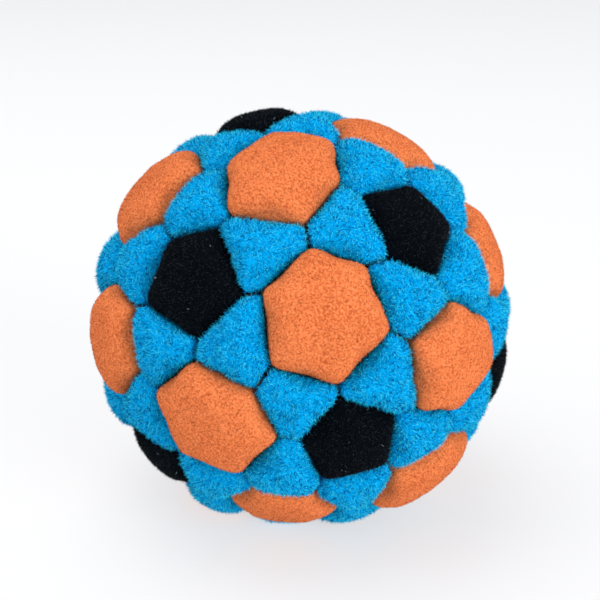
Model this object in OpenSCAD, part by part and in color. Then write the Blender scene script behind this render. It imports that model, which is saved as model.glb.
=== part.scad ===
// Sewn suede ball, 92 panels, filled with loose sand.
//
// The panels follow the net of an icosahedron whose edges are cut in three: a black
// five-sided panel on each of its 12 corners, an orange six-sided panel on each of its
// 20 faces, and a ring of five blue panels round every black one. Each panel is a
// shallow tray of suede: a puffed face, and edges turned inwards where it is sewn to its
// neighbours. +Z is up, and the origin is the middle of the flat that the ball rests on.

/* [Ball] */
// Radius to the top of an orange panel
orange_top_r = 27.9; // [26:0.1:32]
// Radius to the top of a blue panel
blue_top_r = 27.4; // [26:0.1:32]
// Radius to the top of a black panel
black_top_r = 27.2; // [26:0.1:32]
// Radius to the sewn seams, down between the panels
seam_r = 25.6; // [22:0.1:26]
// Height of the ball's middle above the flat it rests on
rest_h = 26.3; // [25.6:0.1:27]

/* [Suede] */
// Thickness of the suede
suede_t = 1; // [0.6:0.1:1.2]
// Width of the edge that is turned in at each seam
turn_in = 1.8; // [1.4:0.1:2.4]
// Gap between the faces of two panels sewn together
seam_gap = 0.1; // [0.06:0.02:0.2]
// Clearance between the sand and the suede or thread
slack = 0.1; // [0.05:0.05:0.2]

/* [Thread] */
// Diameter of the sewing thread
thread_d = 0.5; // [0.3:0.1:0.6]
// Diameter of the knot that closes the last seam
knot_d = 1.6; // [1:0.1:1.8]

/* [Net] */
// Angle from the middle of a black panel to its corners
black_corner = 15; // [14:0.5:16]
// Angle from the middle of an orange panel to its corners
orange_corner = 17; // [15.5:0.5:17.5]
// How far hand sewing pulls a corner of the net out of its place, at most
sewing_wander = 0.8; // [0:0.1:1]
// Which pattern of pulls is drawn
wander_seed = 5; // [1:1:50]
// How the net is turned about X, then Y, then Z
turn = [-13, -7.5, 28]; // [-180:0.5:180]

/* [Colours] */
// Colour of the orange suede
orange_colour = "coral"; // [coral, tomato, orange]
// Colour of the blue suede
blue_colour = "deepskyblue"; // [deepskyblue, royalblue, teal]
// Colour of the black suede
black_colour = "#101418"; // [#101418, #202020, #303030]

/* [Hidden] */
$fn = 96;

// Hand filling leaves some panels fuller than others: [colour, panel, mm higher at the top]
fuller = [["orange", 1, -1], ["orange", 6, -1], ["orange", 18, -1.6], ["black", 0, 0.6]];

// Corners of the icosahedron are 63.4 degrees from their neighbours, and 116.6 from the next
next_to = 0.4;
// Panels whose middle points lower than this may meet the floor
underneath = -0.7;
// A wedge reaches this far out, past every panel
reach = 40;
// Turning the outline in by this angle leaves a wall of one suede thickness
wall_angle = asin(1.15 * suede_t / seam_r);
gap_angle = asin(1.15 * seam_gap / 2 / seam_r);
turned_in_r = seam_r - turn_in;
thread_r = turned_in_r - thread_d / 2 - slack;
sand_core_r = turned_in_r - thread_d - 0.4;
middle = [0, 0, rest_h];

function unit(v) = v / norm(v);
function direction(east, north) =
    [cos(north) * cos(east), cos(north) * sin(east), sin(north)];
function about_x(v, a) = [v[0], v[1] * cos(a) - v[2] * sin(a), v[1] * sin(a) + v[2] * cos(a)];
function about_y(v, a) = [v[0] * cos(a) + v[2] * sin(a), v[1], v[2] * cos(a) - v[0] * sin(a)];
function about_z(v, a) = [v[0] * cos(a) - v[1] * sin(a), v[0] * sin(a) + v[1] * cos(a), v[2]];
function turned(v) = about_z(about_y(about_x(v, turn[0]), turn[1]), turn[2]);
// The direction that lies some angle from a on the way to b
function towards(a, b, angle) = a * cos(angle) + unit(b - a * (a * b)) * sin(angle);
function touching(i, j) = i != j && black[i] * black[j] > next_to;
// Turns three corners so that they go counter-clockwise, seen from outside
function counter_clockwise(i, j, k) =
    cross(black[i], black[j]) * black[k] < 0 ? [i, k, j] : [i, j, k];
function total(list, n = 0) = n == len(list) - 1 ? list[n] : list[n] + total(list, n + 1);

ring = atan(0.5);
// Direction of the middle of each black panel
black = [for (v = concat(
    [[0, 0, 1]],
    [for (k = [0:4]) direction(72 * k, ring)],
    [for (k = [0:4]) direction(72 * k + 36, -ring)],
    [[0, 0, -1]])) turned(v)];
// The three black panels round each orange one
around = [
    for (i = [0:9]) for (j = [i + 1:10]) for (k = [j + 1:11])
        if (touching(i, j) && touching(j, k) && touching(i, k)) counter_clockwise(i, j, k)
];
orange = [for (t = around) unit(black[t[0]] + black[t[1]] + black[t[2]])];

// A pull away from an orange panel's middle, then one round it, for each of its 9 corners
pulls = rands(-sewing_wander, sewing_wander, 20 * 9 * 2, wander_seed);
// A corner of the net after its pulls
function moved(v, panel, corner) =
    let (away = unit(v - orange[panel] * (orange[panel] * v)), k = 2 * (9 * panel + corner))
    unit(seam_r * v + away * pulls[k] + cross(orange[panel], away) * pulls[k + 1]);
// Where corner c of orange panel p is in a perfect net
function net_corner(p, c) =
    let (t = around[p], n = floor(c / 2) % 3, a = black[t[n]], b = black[t[(n + 1) % 3]])
    c > 5 ? towards(black[t[c - 6]], orange[p], black_corner)
    : c % 2 == 0 ? towards(orange[p], a, orange_corner)
    : towards(orange[p], unit(a + b), orange_corner);
corners = [for (p = [0:19]) [for (c = [0:8]) moved(net_corner(p, c), p, c)]];
// The middle of side s of orange panel p
function mid_side(p, s) = unit(corners[p][s] + corners[p][(s + 1) % 6]);
// Which of the three black panels round orange panel p is black panel b
function place_of(p, b) = search(b, around[p])[0];
function has(p, b) = len(search(b, around[p])) > 0;
// Corner of black panel b that points at orange panel p
function black_point(p, b) = corners[p][6 + place_of(p, b)];
// Side and corners of orange panel p between black panels b and n, starting at b
function side_from(p, b, n) =
    let (i = place_of(p, b), ahead = around[p][(i + 1) % 3] == n)
    ahead ? [corners[p][2 * i], mid_side(p, 2 * i), corners[p][2 * i + 1]]
    : [corners[p][2 * i], mid_side(p, (2 * i + 5) % 6), corners[p][(2 * i + 5) % 6]];
// The two orange panels on either side of the line from black panel b to black panel n
function beside(b, n) = [for (p = [0:19]) if (has(p, b) && has(p, n)) p];
function neighbours(b) = [for (n = [0:11]) if (touching(b, n)) n];

function orange_outline(p) = [for (s = [0:5]) each [corners[p][s], mid_side(p, s)]];
function blue_outline(b, n) =
    let (p = beside(b, n), left = side_from(p[0], b, n), right = side_from(p[1], b, n))
    concat([black_point(p[1], b), black_point(p[0], b)], left, [right[2], right[1], right[0]]);
// Points sorted by their angle about the direction a
function about(a, list) =
    let (x = unit(cross(a, list[0])), y = cross(a, x),
         angles = [for (v = list) atan2(v * y, v * x)])
    [for (r = [0:len(list) - 1])
        list[[for (i = [0:len(list) - 1])
            if (len([for (g = angles) if (g < angles[i]) 1]) == r) i][0]]];
function black_outline(b) =
    about(black[b], [for (p = [0:19]) if (has(p, b)) black_point(p, b)]);

// Top radius of one panel after the list of fuller ones
function top_of(kind, i, top_r) =
    let (hits = [for (f = fuller) if (f[0] == kind && f[1] == i) f[2]])
    top_r + (len(hits) > 0 ? hits[0] : 0);

function named(word, i) = str(word, i < 10 ? "0" : "", i);

// Everything inside an outline of directions, from the ball's middle outwards
module wedge(outline) {
    n = len(outline);
    top = unit(total(outline));
    points = concat([[0, 0, 0], top * reach], [for (v = outline) v * reach]);
    spin = cross(outline[0], outline[1]) * top > 0;
    faces = [for (i = [0:n - 1]) let (a = 2 + i, b = 2 + (i + 1) % n)
        each (spin ? [[0, a, b], [1, b, a]] : [[0, b, a], [1, a, b]])];
    polyhedron(points, faces);
}

// The ball that bounds a puffed face: through the panel's top and its farthest corner
module crown(outline, top_r, sink) {
    top = unit(total(outline));
    corner_cos = min([for (v = outline) v * top]);
    offset_r = (top_r * top_r - seam_r * seam_r) / (2 * (top_r - seam_r * corner_cos));
    translate(top * offset_r) sphere(r = top_r - offset_r - sink);
}

// The outline pulled in all round by an angle
function drawn_in(outline, angle) =
    let (top = unit(total(outline))) [for (v = outline) towards(v, top, angle)];

// Cuts off whatever lies below a height over the floor
module above(height) {
    intersection() {
        children();
        translate([-reach, -reach, height - rest_h]) cube(2 * reach);
    }
}

// A puffed face over its wedge, down to the ball's middle
module bulge(outline, top_r, sink, angle) {
    intersection() {
        wedge(drawn_in(outline, angle));
        crown(outline, top_r, sink);
    }
}

// What a panel encloses: its whole body, or the hollow behind its suede. The panels
// underneath are pressed flat by whatever the ball rests on.
module lens(outline, top_r, sink, angle) {
    if (unit(total(outline))[2] < underneath) above(sink) bulge(outline, top_r, sink, angle);
    else bulge(outline, top_r, sink, angle);
}

// One suede panel: a puffed face with its edges turned in
module panel(outline, top_r) {
    translate(middle) difference() {
        lens(outline, top_r, 0, gap_angle);
        lens(outline, top_r, suede_t, wall_angle);
        sphere(r = turned_in_r);
    }
}

module black_panel(b) {
    color(black_colour) panel(black_outline(b), top_of("black", b, black_top_r));
}

module orange_panel(p) {
    color(orange_colour)
        panel(orange_outline(p), top_of("orange", p, orange_top_r));
}

// The five blue panels round one black panel
module blue_ring(b) {
    color(blue_colour) for (n = neighbours(b)) panel(blue_outline(b, n), blue_top_r);
}

// A straight run of thread behind a seam, from one corner direction to another
module run(a, b) {
    gap = thread_d * 1.1;
    from = a * thread_r;
    to = b * thread_r;
    along = unit(to - from);
    length = norm(to - from) - 2 * gap;
    if (length > thread_d / 2)
        translate(middle + from + along * gap)
            rotate([0, acos(along[2]), atan2(along[1], along[0])])
                cylinder(d = thread_d, h = length, $fn = 16);
}

// The thread lies along the ends of the turned-in edges, one run behind every seam
module seam_thread() {
    color(black_colour) {
        for (p = [0:19], s = [0:5]) {
            run(corners[p][s], mid_side(p, s));
            run(mid_side(p, s), corners[p][(s + 1) % 6]);
        }
        for (p = [0:19], n = [0:2]) run(corners[p][6 + n], corners[p][2 * n]);
        for (b = [0:11]) {
            outline = black_outline(b);
            for (i = [0:4]) run(outline[i], outline[(i + 1) % 5]);
        }
        for (b = [0:10], n = [b + 1:11]) if (touching(b, n)) {
            p = beside(b, n);
            run(side_from(p[0], b, n)[2], side_from(p[1], b, n)[2]);
        }
    }
}

knot_at = middle + corners[18][1] * (thread_r - thread_d / 2 - knot_d / 2 - slack);

// The last seam's thread is tied off inside the ball
module closing_knot() {
    color(black_colour) translate(knot_at) sphere(d = knot_d, $fn = 32);
}

// Loose sand fills the ball and every panel's hollow
module sand_filling() {
    color("tan") difference() {
        translate(middle) union() {
            sphere(r = sand_core_r);
            for (b = [0:11]) lobe(black_outline(b), top_of("black", b, black_top_r));
            for (p = [0:19])
                lobe(orange_outline(p), top_of("orange", p, orange_top_r));
            for (b = [0:11]) for (n = neighbours(b)) lobe(blue_outline(b, n), blue_top_r);
        }
        translate(knot_at) sphere(d = knot_d + 2 * slack, $fn = 32);
    }
}

// The sand in one panel's hollow, rooted in the core
module lobe(outline, top_r) {
    difference() {
        lens(outline, top_r, suede_t + slack, wall_angle * 1.15);
        sphere(r = sand_core_r - 1);
    }
}

for (b = [0:11])
    black_panel(b);
for (p = [0:19])
    orange_panel(p);
for (b = [0:11])
    blue_ring(b);
seam_thread();
closing_knot();
sand_filling();
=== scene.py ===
# %% [markdown]
# # A sewn suede ball, filled with sand
# The real ball is a bag the size of an egg: 92 small pieces of suede in three colours, sewn
# edge to edge with the seams turned in, and packed tight with dry sand. The CAD model gives
# the place and outline of every panel. Here each panel gets the puffed, soft shape that the
# sand presses it into, and the short fibres of its nap.

# %% Load the CAD frame
import math

import bpy
import numpy as np
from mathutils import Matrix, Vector


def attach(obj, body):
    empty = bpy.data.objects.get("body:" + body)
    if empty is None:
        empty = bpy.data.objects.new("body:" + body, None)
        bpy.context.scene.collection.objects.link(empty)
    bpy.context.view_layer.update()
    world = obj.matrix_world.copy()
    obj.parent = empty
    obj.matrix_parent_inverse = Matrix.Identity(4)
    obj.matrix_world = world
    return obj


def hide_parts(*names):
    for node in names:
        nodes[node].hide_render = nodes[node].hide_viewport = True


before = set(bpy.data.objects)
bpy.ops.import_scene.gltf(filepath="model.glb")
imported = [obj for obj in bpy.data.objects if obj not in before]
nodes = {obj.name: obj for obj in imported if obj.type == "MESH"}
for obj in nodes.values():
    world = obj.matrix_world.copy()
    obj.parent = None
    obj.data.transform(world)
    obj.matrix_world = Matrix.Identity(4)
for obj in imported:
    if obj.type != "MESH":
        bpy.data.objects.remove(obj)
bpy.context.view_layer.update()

MM = 0.001

# %% [markdown]
# ## The sizes that the panels share
# The ball's middle stands over the middle of its rest flat. Seams lie on one sphere about that
# middle, and suede edges turn in below it. These are the CAD model's own values, but for the
# suede, which is drawn a tenth of a millimetre thinner so that its inner side clears the sand.
# The rays and rings are the grid that every panel's face is drawn on.

# %% Driving sizes
MIDDLE = np.array([0, 0, 26.3]) * MM
SEAM_R = 25.6 * MM
TURN_IN = 1.8 * MM
SUEDE_T = 0.9 * MM
FLOOR_CLEARANCE = 0.02 * MM

BEARINGS = 112
RINGS = 22
bearing = (np.arange(BEARINGS) + 0.5) / BEARINGS * 2 * math.pi
share = np.sin(np.arange(1, RINGS + 1) / RINGS * math.pi / 2)


def unit(vectors):
    """Every vector divided by its own length."""
    return vectors / np.linalg.norm(vectors, axis=-1, keepdims=True)


# %% [markdown]
# ## Reading a panel's outline from its CAD solid
# A seam is a plane through the ball's middle, so seen from the middle a panel is a flat shape
# with straight sides. For 112 bearings round the panel's own middle, the outline is the farthest
# place where a ray at that bearing crosses an edge of the solid. A ring of five blue panels is
# one CAD node, so its solids are told apart first.

# %% Split a node into its solids
def solids_of(node):
    """The node's separate solids, each as points and triangles. Points at one place become
    one, and the lowest point number spreads along the triangles until it fills each solid."""
    mesh = nodes[node].data
    mesh.calc_loop_triangles()
    points = np.empty(len(mesh.vertices) * 3)
    mesh.vertices.foreach_get("co", points)
    corners = np.empty(len(mesh.loop_triangles) * 3, dtype=np.int64)
    mesh.loop_triangles.foreach_get("vertices", corners)
    merge = 0.0001 * MM
    keys = np.round(points.reshape(-1, 3) / merge).astype(np.int64)
    places, same = np.unique(keys, axis=0, return_inverse=True)
    triangles = same.reshape(-1)[corners].reshape(-1, 3)
    label = np.arange(len(places))
    while (label[triangles] != label[triangles][:, :1]).any():
        np.minimum.at(label, triangles, label[triangles].min(axis=1)[:, None])
        label = label[label]
    owner = label[triangles[:, 0]]
    return [(places * merge, triangles[owner == one]) for one in np.unique(owner)]


# %% Measure an outline
def outline_of(points, triangles, axis):
    """How far from the axis the solid reaches at each bearing, as an angle: each edge is
    projected from the ball's middle onto a plane square to the axis, cut by the ray at that
    bearing, and the farthest cut is kept."""
    side = unit(np.cross(axis, [0.3, 0.5, 0.8]))
    forward = np.cross(axis, side)
    rays = points - MIDDLE
    flat = np.stack([rays @ side, rays @ forward], axis=1) / (rays @ axis)[:, None]
    edges = flat[triangles[:, [0, 1, 1, 2, 2, 0]]].reshape(-1, 2, 2)
    along = np.stack([np.cos(bearing), np.sin(bearing)])
    across = np.stack([-np.sin(bearing), np.cos(bearing)])
    off = edges @ across
    near = edges @ along
    crossing = off[:, 0] * off[:, 1] < 0
    part = np.where(crossing, off[:, 0] / np.where(crossing, off[:, 0] - off[:, 1], 1), 0)
    cut = np.where(crossing, near[:, 0] + part * (near[:, 1] - near[:, 0]), 0)
    return side, forward, np.arctan(cut.max(axis=0))


def toward(axis, side, forward, angle, turn):
    """Directions at an angle from the axis, turned round it from side to forward."""
    around = side * np.cos(turn)[..., None] + forward * np.sin(turn)[..., None]
    return axis * np.cos(angle)[..., None] + around * np.sin(angle)[..., None]


def eased(values, passes, line=0):
    """Values in a closed line, smoothed: each pass takes half of a value and a quarter of
    each neighbour along that axis of the array."""
    for _ in range(passes):
        values = values / 2 + (np.roll(values, 1, line) + np.roll(values, -1, line)) / 4
    return values


panels = []
for node in sorted(nodes):
    if "panel" not in node and "ring" not in node:
        continue
    for number, (points, triangles) in enumerate(solids_of(node)):
        axis = unit(points[triangles].mean(axis=(0, 1)) - MIDDLE)
        for _ in range(2):
            side, forward, spread = outline_of(points, triangles, axis)
            axis = unit(toward(axis, side, forward, spread, bearing).mean(axis=0))
        side, forward, spread = outline_of(points, triangles, axis)
        spread = eased(spread, 2)
        name = node + "_" + "abcde"[number] if "ring" in node else node
        top = np.linalg.norm(points - MIDDLE, axis=1).max()
        panels.append((name, node, axis, side, forward, spread, top))
names, owners = ([p[i] for p in panels] for i in range(2))
axes, sides, forwards, spreads, tops = (np.array([p[i] for p in panels]) for i in range(2, 7))
colours = np.array([name.split("_")[0] for name in names])
print("panels:", len(panels), "widest outline in degrees:", round(math.degrees(spreads.max()), 1))

# %% [markdown]
# ## The puffed shape
# Sand pushes a panel out until the suede is taut: flat over the middle, and round at a shoulder
# that dives into the seam. The height over the seams is a superellipse of the distance from
# the middle: height * (1 - share ** flatness) ** (1 / steepness). The powers vary by colour, and
# each panel is filled a little differently, so heights vary by panel and slow waves dent them.
# The face starts below the seam line, so that a dark crease is left between two panels.

# %% Waves for dents and mottling
def waves(points, length, seed, count=24):
    """A smooth random field from -1 to about 1: the mean of cosine waves of one length that
    run in random directions, for any array of points."""
    draw = np.random.default_rng(seed)
    way = unit(draw.normal(size=(count, 3))) * 2 * math.pi / length
    phase = draw.uniform(0, 2 * math.pi, count)
    return np.cos(points @ way.T + phase).sum(axis=-1) * math.sqrt(2 / count) / 1.5


FLATNESS = {"orange": 4.6, "blue": 2.3, "black": 2.5}
STEEPNESS = {"orange": 2.6, "blue": 1.7, "black": 1.9}
RIM_R = SEAM_R - 0.8 * MM
DENT_LENGTH = 7 * MM
DENT_DEPTH = 0.12 * MM
draw = np.random.default_rng(7)
top_r = tops + draw.normal(0, DENT_DEPTH, len(panels))
flatness = np.array([FLATNESS[c] for c in colours])[:, None]
steepness = np.array([STEEPNESS[c] for c in colours])[:, None]


def face_points(height_share):
    """The faces of all panels as an array [panel, ring, bearing, xyz], from the superellipse
    times height_share. Ring 0 is the panel's middle, the same point at every bearing."""
    reach = np.concatenate([[0], share])
    angle = reach[None, :, None] * spreads[:, None, :]
    turn = np.broadcast_to(bearing, angle.shape)
    way = toward(axes[:, None, None], sides[:, None, None], forwards[:, None, None], angle, turn)
    rise = (top_r - RIM_R)[:, None] * (1 - reach[None] ** flatness) ** (1 / steepness)
    dents = waves(way * SEAM_R, DENT_LENGTH, 3) * DENT_DEPTH
    dents = dents * np.sqrt(1 - reach[None, :, None] ** 2)
    radius = RIM_R + height_share * rise[:, :, None] + dents
    return way * radius[..., None]


faces = face_points(1.0)
print("faces:", faces.shape, "highest in mm:", round(np.linalg.norm(faces, axis=-1).max() / MM, 2))

# %% [markdown]
# ## Pressing the suede out with a cloth simulation
# The faces are cut a little larger than the holes between their seams, pinned along the seams,
# and blown out by a pressure that stands for the sand. That gives the slack near the seams its
# creases. They start four fifths as high as they end. All faces are one mesh while they are
# simulated, 40 times their real size, because the solver's steps suit things as big as a
# cushion, and on every second ray and ring, to save time. Then each point's move is capped and
# carried to the fine grid, and each panel is kept on its own side of its seams, as its neighbour
# presses back just as hard.

# %% Mesh helpers
def grid_faces(rings, start, across=BEARINGS):
    """Quads between neighbouring rings of points, numbered ring by ring from start."""
    ring, place = np.meshgrid(np.arange(rings - 1), np.arange(across), indexing="ij")
    here = start + ring * across + place
    beside = start + ring * across + (place + 1) % across
    return np.stack([here, here + across, beside + across, beside], axis=-1).reshape(-1, 4)


def new_mesh(name, points, quads, triangles, slots=None):
    """A mesh of quads, then triangles, written as whole arrays."""
    mesh = bpy.data.meshes.new(name)
    mesh.vertices.add(len(points))
    mesh.vertices.foreach_set("co", np.asarray(points, dtype=np.float32).ravel())
    mesh.loops.add(quads.size + triangles.size)
    mesh.loops.foreach_set("vertex_index", np.concatenate([quads.ravel(), triangles.ravel()]))
    sizes = np.concatenate([np.full(len(quads), 4), np.full(len(triangles), 3)])
    mesh.polygons.add(len(sizes))
    mesh.polygons.foreach_set("loop_start", np.concatenate([[0], np.cumsum(sizes)[:-1]]))
    if slots is not None:
        mesh.polygons.foreach_set("material_index", slots)
    mesh.update(calc_edges=True)
    mesh.validate()
    return mesh


def new_piece(mesh):
    """An object for the mesh, in the scene."""
    piece = bpy.data.objects.new(mesh.name, mesh)
    bpy.context.scene.collection.objects.link(piece)
    return piece


# %% Run the cloth
def press_out(start, frames=16, scale=40.0, pressure=9.0, slack=-0.05):
    """Simulates all faces as one cloth and returns them in the same order. start is the array
    [panel, ring, bearing, xyz] about the ball's middle; its outer ring is pinned."""
    rings, across = start.shape[1] - 1, start.shape[2]
    panel_size = 1 + rings * across
    body = np.concatenate([start[:, :1, :1].reshape(len(panels), 1, 3),
                           start[:, 1:].reshape(len(panels), -1, 3)], axis=1)
    first = np.arange(len(panels)) * panel_size
    quads = (grid_faces(rings, 1, across)[None] + first[:, None, None]).reshape(-1, 4)
    place = np.arange(across)
    fan = np.stack([np.zeros_like(place), 1 + place, 1 + (place + 1) % across], axis=-1)
    triangles = (fan[None] + first[:, None, None]).reshape(-1, 3)
    cloth_piece = new_piece(new_mesh("pressed_suede", body.reshape(-1, 3) * scale, quads, triangles))
    rim = (first[:, None] + panel_size - across + place[None]).ravel()
    pin = cloth_piece.vertex_groups.new(name="seams")
    pin.add(rim.tolist(), 1.0, "REPLACE")
    cloth = cloth_piece.modifiers.new("cloth", "CLOTH")
    settings = cloth.settings
    settings.quality = 4
    settings.mass = 0.3
    settings.tension_stiffness = 25
    settings.compression_stiffness = 12
    settings.shear_stiffness = 8
    settings.bending_stiffness = 2.0
    settings.shrink_min = slack
    settings.vertex_group_mass = "seams"
    settings.use_pressure = True
    settings.uniform_pressure_force = pressure
    settings.effector_weights.gravity = 0
    cloth.point_cache.frame_start = 1
    cloth.point_cache.frame_end = frames
    for step in range(1, frames + 1):
        bpy.context.scene.frame_set(step)
    done = cloth_piece.evaluated_get(bpy.context.evaluated_depsgraph_get()).data
    moved = np.empty(len(done.vertices) * 3)
    done.vertices.foreach_get("co", moved)
    bpy.context.scene.frame_set(1)
    mesh = cloth_piece.data
    bpy.data.objects.remove(cloth_piece)
    bpy.data.meshes.remove(mesh)
    moved = moved.reshape(len(panels), panel_size, 3) / scale
    centre = np.repeat(moved[:, :1, None], across, axis=2)
    return np.concatenate([centre, moved[:, 1:].reshape(len(panels), rings, across, 3)], axis=1)


def halfway(before, first, second, after):
    """A smooth value halfway between first and second: nine sixteenths of each, less a
    sixteenth of each value beyond them."""
    return (9 * (first + second) - before - after) / 16


def refined(coarse):
    """Twice as many bearings and rings for an array [panel, ring, bearing, xyz]. The ring
    before the middle is the first ring on the opposite side."""
    between = halfway(np.roll(coarse, 1, 2), coarse, np.roll(coarse, -1, 2), np.roll(coarse, -2, 2))
    fine = np.stack([coarse, between], axis=3).reshape(*coarse.shape[:2], -1, 3)
    opposite = np.roll(fine[:, 1:2], fine.shape[2] // 2, axis=2)
    padded = np.concatenate([opposite, fine, 2 * fine[:, -1:] - fine[:, -2:-1]], axis=1)
    between = halfway(padded[:, :-3], padded[:, 1:-2], padded[:, 2:-1], padded[:, 3:])
    both = np.stack([fine[:, :-1], between], axis=2).reshape(len(fine), -1, *fine.shape[2:])
    return np.concatenate([both, fine[:, -1:]], axis=1)


def kept_in(points, gap):
    """The points in polar form about each panel's axis, with no angle past the outline at its
    own bearing less the gap."""
    way = unit(points)
    angle = np.arccos(np.clip((way * axes[:, None, None]).sum(-1), -1, 1))
    turn = np.arctan2((way * forwards[:, None, None]).sum(-1), (way * sides[:, None, None]).sum(-1))
    step = (turn / (2 * math.pi) * BEARINGS - 0.5) % BEARINGS
    low = np.floor(step).astype(int) % BEARINGS
    part = step - np.floor(step)
    row = np.arange(len(panels))[:, None, None]
    limit = spreads[row, low] * (1 - part) + spreads[row, (low + 1) % BEARINGS] * part
    angle = np.minimum(angle, limit - gap)
    radius = np.linalg.norm(points, axis=-1)
    way = toward(axes[:, None, None], sides[:, None, None], forwards[:, None, None], angle, turn)
    return way * radius[..., None]


MOST_MOVE = 1.2 * MM
START_SHARE = 0.8
start = face_points(START_SHARE)
coarse = start[:, ::2, ::2]
move = eased(press_out(coarse) - coarse, 2, 2)
length = np.linalg.norm(move, axis=-1, keepdims=True)
move *= np.minimum(1, MOST_MOVE / np.maximum(length, 1e-12))
faces = start + refined(move)
print("cloth move in mm, mean:", round(length.mean() / MM, 2),
      "most:", round(length.max() / MM, 2))
CREASE = {"orange": 0.14, "blue": 0.24, "black": 0.14}
crease = np.array([CREASE[c] for c in colours])[:, None, None] * MM
faces = kept_in(faces, crease / SEAM_R)
radii = np.linalg.norm(faces, axis=-1)
for c in FLATNESS:
    print(c, "middle radius in mm:", np.round(radii[colours == c][:, 0, 0].mean() / MM, 2))

# %% [markdown]
# ## Closing a panel into a piece of suede
# Past the seam the suede turns straight in, as the sewn edge does, then comes back under the
# face at one thickness. The rings run from the face's middle, over the shoulder, down the edge,
# and back under to a second middle, so the piece is one closed skin.

# %% Build the panels
EDGE_DEPTHS = np.array([0.35, 0.7, 1.0]) * (RIM_R - SEAM_R + TURN_IN)
INNER_RINGS = [20, 16, 10, 4]


def shell_points(face, spread, axis, side, forward):
    """One closed panel about the ball's middle: [rings, bearing, xyz] and its two middles."""
    spread = np.arccos(np.clip(unit(face[-1]) @ axis, -1, 1))

    def at(angle, radius):
        way = toward(axis, side, forward, np.broadcast_to(angle, bearing.shape), bearing)
        return way * np.broadcast_to(radius, bearing.shape)[:, None]

    outer = face[1:]
    edge = [at(spread, RIM_R - depth) for depth in EDGE_DEPTHS]
    wall = SUEDE_T / SEAM_R
    back = [at(spread - wall, RIM_R - EDGE_DEPTHS[-1])]
    for ring in INNER_RINGS:
        lift = (np.linalg.norm(face[ring], axis=-1) - SUEDE_T)[:, None]
        way = unit(face[ring])
        inward = unit(way - axis * (way @ axis)[:, None])
        back.append(unit(way - inward * wall * share[ring - 1]) * lift)
    rings = np.concatenate([outer, np.array(edge), np.array(back)])
    under = axis * (np.linalg.norm(face[0, 0]) - SUEDE_T)
    return face[0, 0], rings, under


def closed_mesh(name, top, rings, under):
    """Rings of points closed by a fan at each end, faces outwards."""
    count = len(rings)
    points = np.concatenate([top[None], rings.reshape(-1, 3), under[None]]) + MIDDLE
    points[:, 2] = np.maximum(points[:, 2], FLOOR_CLEARANCE)
    place = np.arange(BEARINGS)
    after = (place + 1) % BEARINGS
    last = 1 + (count - 1) * BEARINGS
    fans = np.concatenate([
        np.stack([np.zeros_like(place), 1 + place, 1 + after], axis=-1),
        np.stack([np.full_like(place, len(points) - 1), last + after, last + place], axis=-1)])
    return new_mesh(name, points, grid_faces(count, 1), fans)


suede_pieces = []
for i, name in enumerate(names):
    parts = shell_points(faces[i], spreads[i], axes[i], sides[i], forwards[i])
    piece = new_piece(closed_mesh(name + "_suede", *parts))
    piece.data.polygons.foreach_set("use_smooth", np.ones(len(piece.data.polygons), dtype=bool))
    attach(piece, "root")
    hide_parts(owners[i])
    suede_pieces.append(piece)
print("suede pieces:", len(suede_pieces), "faces each:", len(suede_pieces[0].data.polygons))

# %% [markdown]
# ## Nap
# Suede is the flesh side of a hide, sanded until its fibres stand up. On the blue panels the
# fibres are long enough to see one by one, and they blur the edge of each panel. They could be
# particle hair, but hair is lost when the model leaves this scene, so each fibre is a thin
# closed spike of four triangles. Each leans at random, and also drifts with slow random waves,
# which gives the patches of lighter and darker nap that a thumb leaves on suede. Lengths and
# widths are in millimetres, and tones are the shares of the three tones of fibre.

# %% Plant the fibres
NAP = {
    "blue": dict(per_mm2=30, length=0.6, width=0.09, lean=1.1, drift=0.7, tones=(0.4, 0.34, 0.26)),
    "orange": dict(per_mm2=32, length=0.26, width=0.085, lean=1.0, drift=0.15, tones=(0.56, 0.26, 0.18)),
    "black": dict(per_mm2=22, length=0.4, width=0.08, lean=1.0, drift=0.4, tones=(0.7, 0.297, 0.003)),
}
STROKE_LENGTH = 2.4 * MM
ROOT_DEPTH = 0.06 * MM


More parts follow.
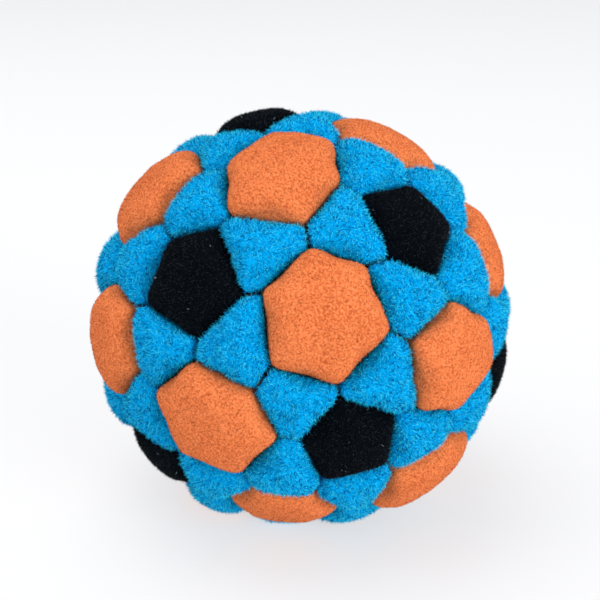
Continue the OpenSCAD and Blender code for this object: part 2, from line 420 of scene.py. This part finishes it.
def nap_of(face, kind, draw):
    """Spikes on one face [ring, bearing, xyz]: roots drawn evenly by area, each leaning by a
    random amount and by two wave fields, as points, triangles and a tone for each triangle."""
    a = face[:-1]
    b = face[1:]
    a_next, b_next = np.roll(a, -1, axis=1), np.roll(b, -1, axis=1)
    normal = np.cross(b_next - a, a_next - b)
    normal = np.where((normal * a).sum(-1, keepdims=True) < 0, -normal, normal)
    area = np.linalg.norm(normal, axis=-1) / 2
    count = int(area.sum() / MM**2 * kind["per_mm2"])
    cell = np.searchsorted(np.cumsum(area.ravel()) / area.sum(), draw.random(count))
    cell = np.minimum(cell, area.size - 1)
    u, v = draw.random((2, count, 1))
    a, b, a_next, b_next, normal = (
        grid.reshape(-1, 3)[cell] for grid in (a, b, a_next, b_next, normal))
    root = (a * (1 - u) + b * u) * (1 - v) + (a_next * (1 - u) + b_next * u) * v
    up = unit(normal)
    flow = np.stack([waves(root, STROKE_LENGTH, seed) for seed in (11, 12, 13)], axis=-1)
    flow = flow * kind["drift"] + draw.normal(size=(count, 3)) * 0.7
    flow -= up * (flow * up).sum(-1, keepdims=True)
    way = unit(up + kind["lean"] * flow)
    length = kind["length"] * MM * draw.uniform(0.55, 1.3, (count, 1))
    across = unit(np.cross(way, draw.normal(size=(count, 3))))
    over = np.cross(way, across)
    half = kind["width"] * MM / 2
    foot = root - up * ROOT_DEPTH
    base = [foot + (across * math.cos(t) + over * math.sin(t)) * half
            for t in (0, 2 * math.pi / 3, 4 * math.pi / 3)]
    points = np.stack(base + [foot + way * length], axis=1)
    spike = np.array([[0, 1, 3], [1, 2, 3], [2, 0, 3], [2, 1, 0]])
    triangles = spike[None] + 4 * np.arange(count)[:, None, None]
    tone = draw.choice(3, size=count, p=kind["tones"])
    return points.reshape(-1, 3), triangles.reshape(-1, 3), np.repeat(tone, 4)


def nap_piece(name, members):
    """One piece of nap for the panels numbered in members."""
    draw = np.random.default_rng(100 + members[0])
    points, triangles, tones, count = [], [], [], 0
    for i in members:
        p, t, s = nap_of(faces[i], NAP[colours[i]], draw)
        points.append(p)
        triangles.append(t + count)
        tones.append(s)
        count += len(p)
    points = np.concatenate(points) + MIDDLE
    points[:, 2] = np.maximum(points[:, 2], 0)
    mesh = new_mesh(name, points, np.empty((0, 4), dtype=int), np.concatenate(triangles),
                    np.concatenate(tones))
    piece = new_piece(mesh)
    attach(piece, "root")
    return piece


nap_pieces = []
for node in sorted(set(owners)):
    members = [i for i, owner in enumerate(owners) if owner == node]
    nap_pieces.append(nap_piece(node + "_nap", members))
print("nap triangles:", sum(len(p.data.polygons) for p in nap_pieces))

# %% [markdown]
# ## Materials
# Suede has almost no shine: light that falls on it is scattered by the fibres, and comes back
# strongest at a grazing angle. So each colour is a rough surface with a soft sheen, mottled at
# the size of a tuft of fibres, about a quarter of a millimetre, and at the size of a thumb mark.

# %% Colour and node helpers
def linear(hex_colour):
    """An sRGB hex colour as linear red, green, blue and full alpha."""
    value = np.array([int(hex_colour[i:i + 2], 16) / 255 for i in (0, 2, 4)])
    value = np.where(value <= 0.04045, value / 12.92, ((value + 0.055) / 1.055) ** 2.4)
    return (*value.tolist(), 1.0)


def add(tree, kind, settings=None, **links):
    """Adds a node, sets its properties or input defaults, and links its inputs."""
    node = tree.nodes.new(kind)
    for key, value in (settings or {}).items():
        if key in node.bl_rna.properties:
            setattr(node, key, value)
        else:
            node.inputs[key].default_value = value
    for key, output in links.items():
        tree.links.new(node.inputs[key.replace("_", " ")], output)
    return node


def new_material(name):
    """An empty node material."""
    material = bpy.data.materials.new(name)
    material.use_nodes = True
    material.node_tree.nodes.clear()
    return material


def suede(name, light, middle, dark, sheen):
    """Sanded suede: three tones of one dye, picked by tufts and thumb marks, over a fine bump of pores.
    """
    material = new_material(name)
    tree = material.node_tree
    where = add(tree, "ShaderNodeTexCoord").outputs["Object"]
    tuft = add(tree, "ShaderNodeTexNoise", {"Scale": 1 / (0.25 * MM), "Detail": 2.0}, Vector=where)
    mark = add(tree, "ShaderNodeTexNoise", {"Scale": 1 / (4 * MM), "Detail": 1.0}, Vector=where)
    blend = add(tree, "ShaderNodeMix", {"data_type": "FLOAT", "Factor": 0.15},
                A=tuft.outputs["Fac"], B=mark.outputs["Fac"])
    ramp = add(tree, "ShaderNodeValToRGB", Fac=blend.outputs["Result"])
    ramp.color_ramp.elements[0].position = 0.36
    ramp.color_ramp.elements[0].color = linear(dark)
    ramp.color_ramp.elements[1].position = 0.64
    ramp.color_ramp.elements[1].color = linear(light)
    centre = ramp.color_ramp.elements.new(0.5)
    centre.color = linear(middle)
    fine = add(tree, "ShaderNodeTexNoise", {"Scale": 1 / (0.2 * MM), "Detail": 2.0}, Vector=where)
    bump = add(tree, "ShaderNodeBump", {"Strength": 0.5, "Distance": 0.1 * MM},
               Height=fine.outputs["Fac"])
    shader = add(tree, "ShaderNodeBsdfPrincipled",
                 {"Roughness": 0.95, "Specular IOR Level": 0.03, "Sheen Weight": sheen,
                  "Sheen Roughness": 0.5, "Sheen Tint": linear(light)},
                 Base_Color=ramp.outputs["Color"], Normal=bump.outputs["Normal"])
    add(tree, "ShaderNodeOutputMaterial", Surface=shader.outputs["BSDF"])
    return material


def fibre(name, colour, sheen):
    """One tone of loose fibre, the same all over, because a fibre is finer than its mottling."""
    material = new_material(name)
    tree = material.node_tree
    shader = add(tree, "ShaderNodeBsdfPrincipled",
                 {"Base Color": linear(colour), "Roughness": 0.9, "Specular IOR Level": 0.03,
                  "Sheen Weight": sheen, "Sheen Roughness": 0.5, "Sheen Tint": linear(colour)})
    add(tree, "ShaderNodeOutputMaterial", Surface=shader.outputs["BSDF"])
    return material


# %% Dye the suede
SUEDE = {
    "blue": suede("blue_dyed_suede", "02AAE4", "019AD8", "017CBC", 0.1),
    "orange": suede("orange_dyed_suede", "EA8653", "DC7743", "B85A32", 0.15),
    "black": suede("black_dyed_suede", "0A0F14", "05090E", "020305", 0.02),
}
FIBRES = {
    "blue": [fibre("blue_fibre", "01BAF0", 0.1), fibre("pale_blue_fibre", "40E4FF", 0.1),
             fibre("deep_blue_fibre", "015490", 0.1)],
    "orange": [fibre("orange_fibre", "DC7745", 0.1), fibre("pale_orange_fibre", "FA9E68", 0.1),
               fibre("deep_orange_fibre", "843A1E", 0.1)],
    "black": [fibre("black_fibre", "080C10", 0.0), fibre("grey_fibre", "2E363D", 0.0),
              fibre("white_lint", "B9BDC0", 0.0)],
}
for piece, colour in zip(suede_pieces, colours):
    piece.data.materials.append(SUEDE[colour])
for piece in nap_pieces:
    for tone in FIBRES[piece.name.split("_")[0]]:
        piece.data.materials.append(tone)

# %% [markdown]
# ## Thread and sand
# The waxed thread and the sand are inside, and show only in a pit between panels. Both keep
# their CAD shapes. Dry sand is grains of quartz of many tans, about 0.3 mm across. Waxed
# polyester thread is two plies twisted together, with a dull shine.

# %% Give the inner parts their materials
def grains():
    """Fine dry sand: cells the size of a grain, each of its own tan, on a bumpy ground."""
    material = new_material("dry_sand")
    tree = material.node_tree
    where = add(tree, "ShaderNodeTexCoord").outputs["Object"]
    cell = add(tree, "ShaderNodeTexVoronoi", {"Scale": 1 / (0.35 * MM)}, Vector=where)
    ramp = add(tree, "ShaderNodeValToRGB", Fac=cell.outputs["Color"])
    ramp.color_ramp.elements[0].color = linear("A5865A")
    ramp.color_ramp.elements[1].color = linear("E0C79C")
    bump = add(tree, "ShaderNodeBump", {"Strength": 0.8, "Distance": 0.15 * MM},
               Height=cell.outputs["Distance"])
    shader = add(tree, "ShaderNodeBsdfPrincipled", {"Roughness": 0.8, "IOR": 1.54},
                 Base_Color=ramp.outputs["Color"], Normal=bump.outputs["Normal"])
    add(tree, "ShaderNodeOutputMaterial", Surface=shader.outputs["BSDF"])
    return material


def waxed_thread():
    """Black twisted thread with wax on it: fine slanting bands and a dull shine."""
    material = new_material("waxed_thread")
    tree = material.node_tree
    where = add(tree, "ShaderNodeTexCoord").outputs["Object"]
    twist = add(tree, "ShaderNodeTexWave", {"Scale": 1 / (0.9 * MM), "bands_direction": "DIAGONAL"},
                Vector=where)
    ramp = add(tree, "ShaderNodeValToRGB", Fac=twist.outputs["Fac"])
    ramp.color_ramp.elements[0].color = linear("08090A")
    ramp.color_ramp.elements[1].color = linear("1C1E20")
    bump = add(tree, "ShaderNodeBump", {"Strength": 0.6, "Distance": 0.06 * MM},
               Height=twist.outputs["Fac"])
    shader = add(tree, "ShaderNodeBsdfPrincipled", {"Roughness": 0.5, "IOR": 1.45},
                 Base_Color=ramp.outputs["Color"], Normal=bump.outputs["Normal"])
    add(tree, "ShaderNodeOutputMaterial", Surface=shader.outputs["BSDF"])
    return material


def dress(node, material):
    """Puts one material on a carried-over CAD node."""
    slots = nodes[node].data.materials
    slots.clear()
    slots.append(material)


thread = waxed_thread()
dress("sand_filling", grains())
dress("seam_thread", thread)
dress("closing_knot", thread)

# %% [markdown]
# ## Floor, light and camera
# A pale sweep curves up behind the ball, so there is no horizon. It glows a little, which is painted
# light: the glow keeps the shadow on it faint and lights the ball from below. The light is broad and
# soft: a large panel to the right of the camera, a weaker one to the left, one overhead, and the room
# all round.

# %% Lay the sweep
def sweep(width=3.0, front=-1.4, back=1.2, bend=0.5, height=1.6, steps=24):
    """A floor that bends up into a wall: a straight run, a quarter circle, a straight run."""
    turn = np.linspace(0, math.pi / 2, steps)
    y = np.concatenate([[front], back + bend * np.sin(turn), [back + bend]])
    z = np.concatenate([[0], bend * (1 - np.cos(turn)), [height]])
    left = np.stack([np.full_like(y, -width), y, z], axis=-1)
    right = left * [-1, 1, 1]
    points = np.stack([left, right], axis=1).reshape(-1, 3)
    row = np.arange(len(y) - 1) * 2
    quads = np.stack([row, row + 1, row + 3, row + 2], axis=-1)
    return new_mesh("pale_sweep", points, quads, np.empty((0, 3), dtype=int))


floor = new_piece(sweep())
floor.data.polygons.foreach_set("use_smooth", np.ones(len(floor.data.polygons), dtype=bool))
# Painted light: the paper's emission makes a grey sweep glow pale though it is no lamp, lifting the
# ball's shadow and lighting its underside.
paper = new_material("pale_paper")
glowing_paper_shader = add(paper.node_tree, "ShaderNodeBsdfPrincipled",
                   {"Base Color": linear("9A9A9A"), "Roughness": 1.0, "Specular IOR Level": 0.1,
                    "Emission Color": linear("FFFFFF"), "Emission Strength": 0.61})
add(paper.node_tree, "ShaderNodeOutputMaterial", Surface=glowing_paper_shader.outputs["BSDF"])
floor.data.materials.append(paper)

# %% Set the lights
def soft_light(name, place, size, power, target):
    """A square area light at a place in metres, facing a target."""
    data = bpy.data.lights.new(name, "AREA")
    data.size = size
    data.energy = power
    light = bpy.data.objects.new(name, data)
    light.location = place
    light.rotation_euler = (Vector(target) - Vector(place)).to_track_quat("-Z", "Y").to_euler()
    bpy.context.scene.collection.objects.link(light)


soft_light("key_right", (0.6, -0.65, 0.25), 0.45, 6.0, MIDDLE)
soft_light("fill_left", (-0.8, -0.25, 0.3), 0.6, 2.2, MIDDLE)
soft_light("overhead", (-0.2, 0.0, 0.85), 0.7, 4.0, MIDDLE)
world = bpy.data.worlds.new("soft_room")
world.use_nodes = True
world.node_tree.nodes["Background"].inputs["Color"].default_value = (0.94, 0.98, 1.05, 1)
world.node_tree.nodes["Background"].inputs["Strength"].default_value = 0.54
bpy.context.scene.world = world
bpy.context.scene.view_settings.view_transform = "Standard"

# %% Place the camera
ELEVATION = math.radians(20)
DISTANCE = 151 * MM
LENS = 68.4
back = Vector((0, -math.cos(ELEVATION), math.sin(ELEVATION)))
camera_data = bpy.data.cameras.new("camera")
camera_data.lens = LENS
camera_data.sensor_width = 36
camera_data.clip_start = 0.01
camera_data.shift_x = -0.0023
camera_data.shift_y = 0.0297
camera = bpy.data.objects.new("camera", camera_data)
camera.location = Vector(MIDDLE) + back * DISTANCE
camera.rotation_euler = (-back).to_track_quat("-Z", "Y").to_euler()
bpy.context.scene.collection.objects.link(camera)
bpy.context.scene.camera = camera
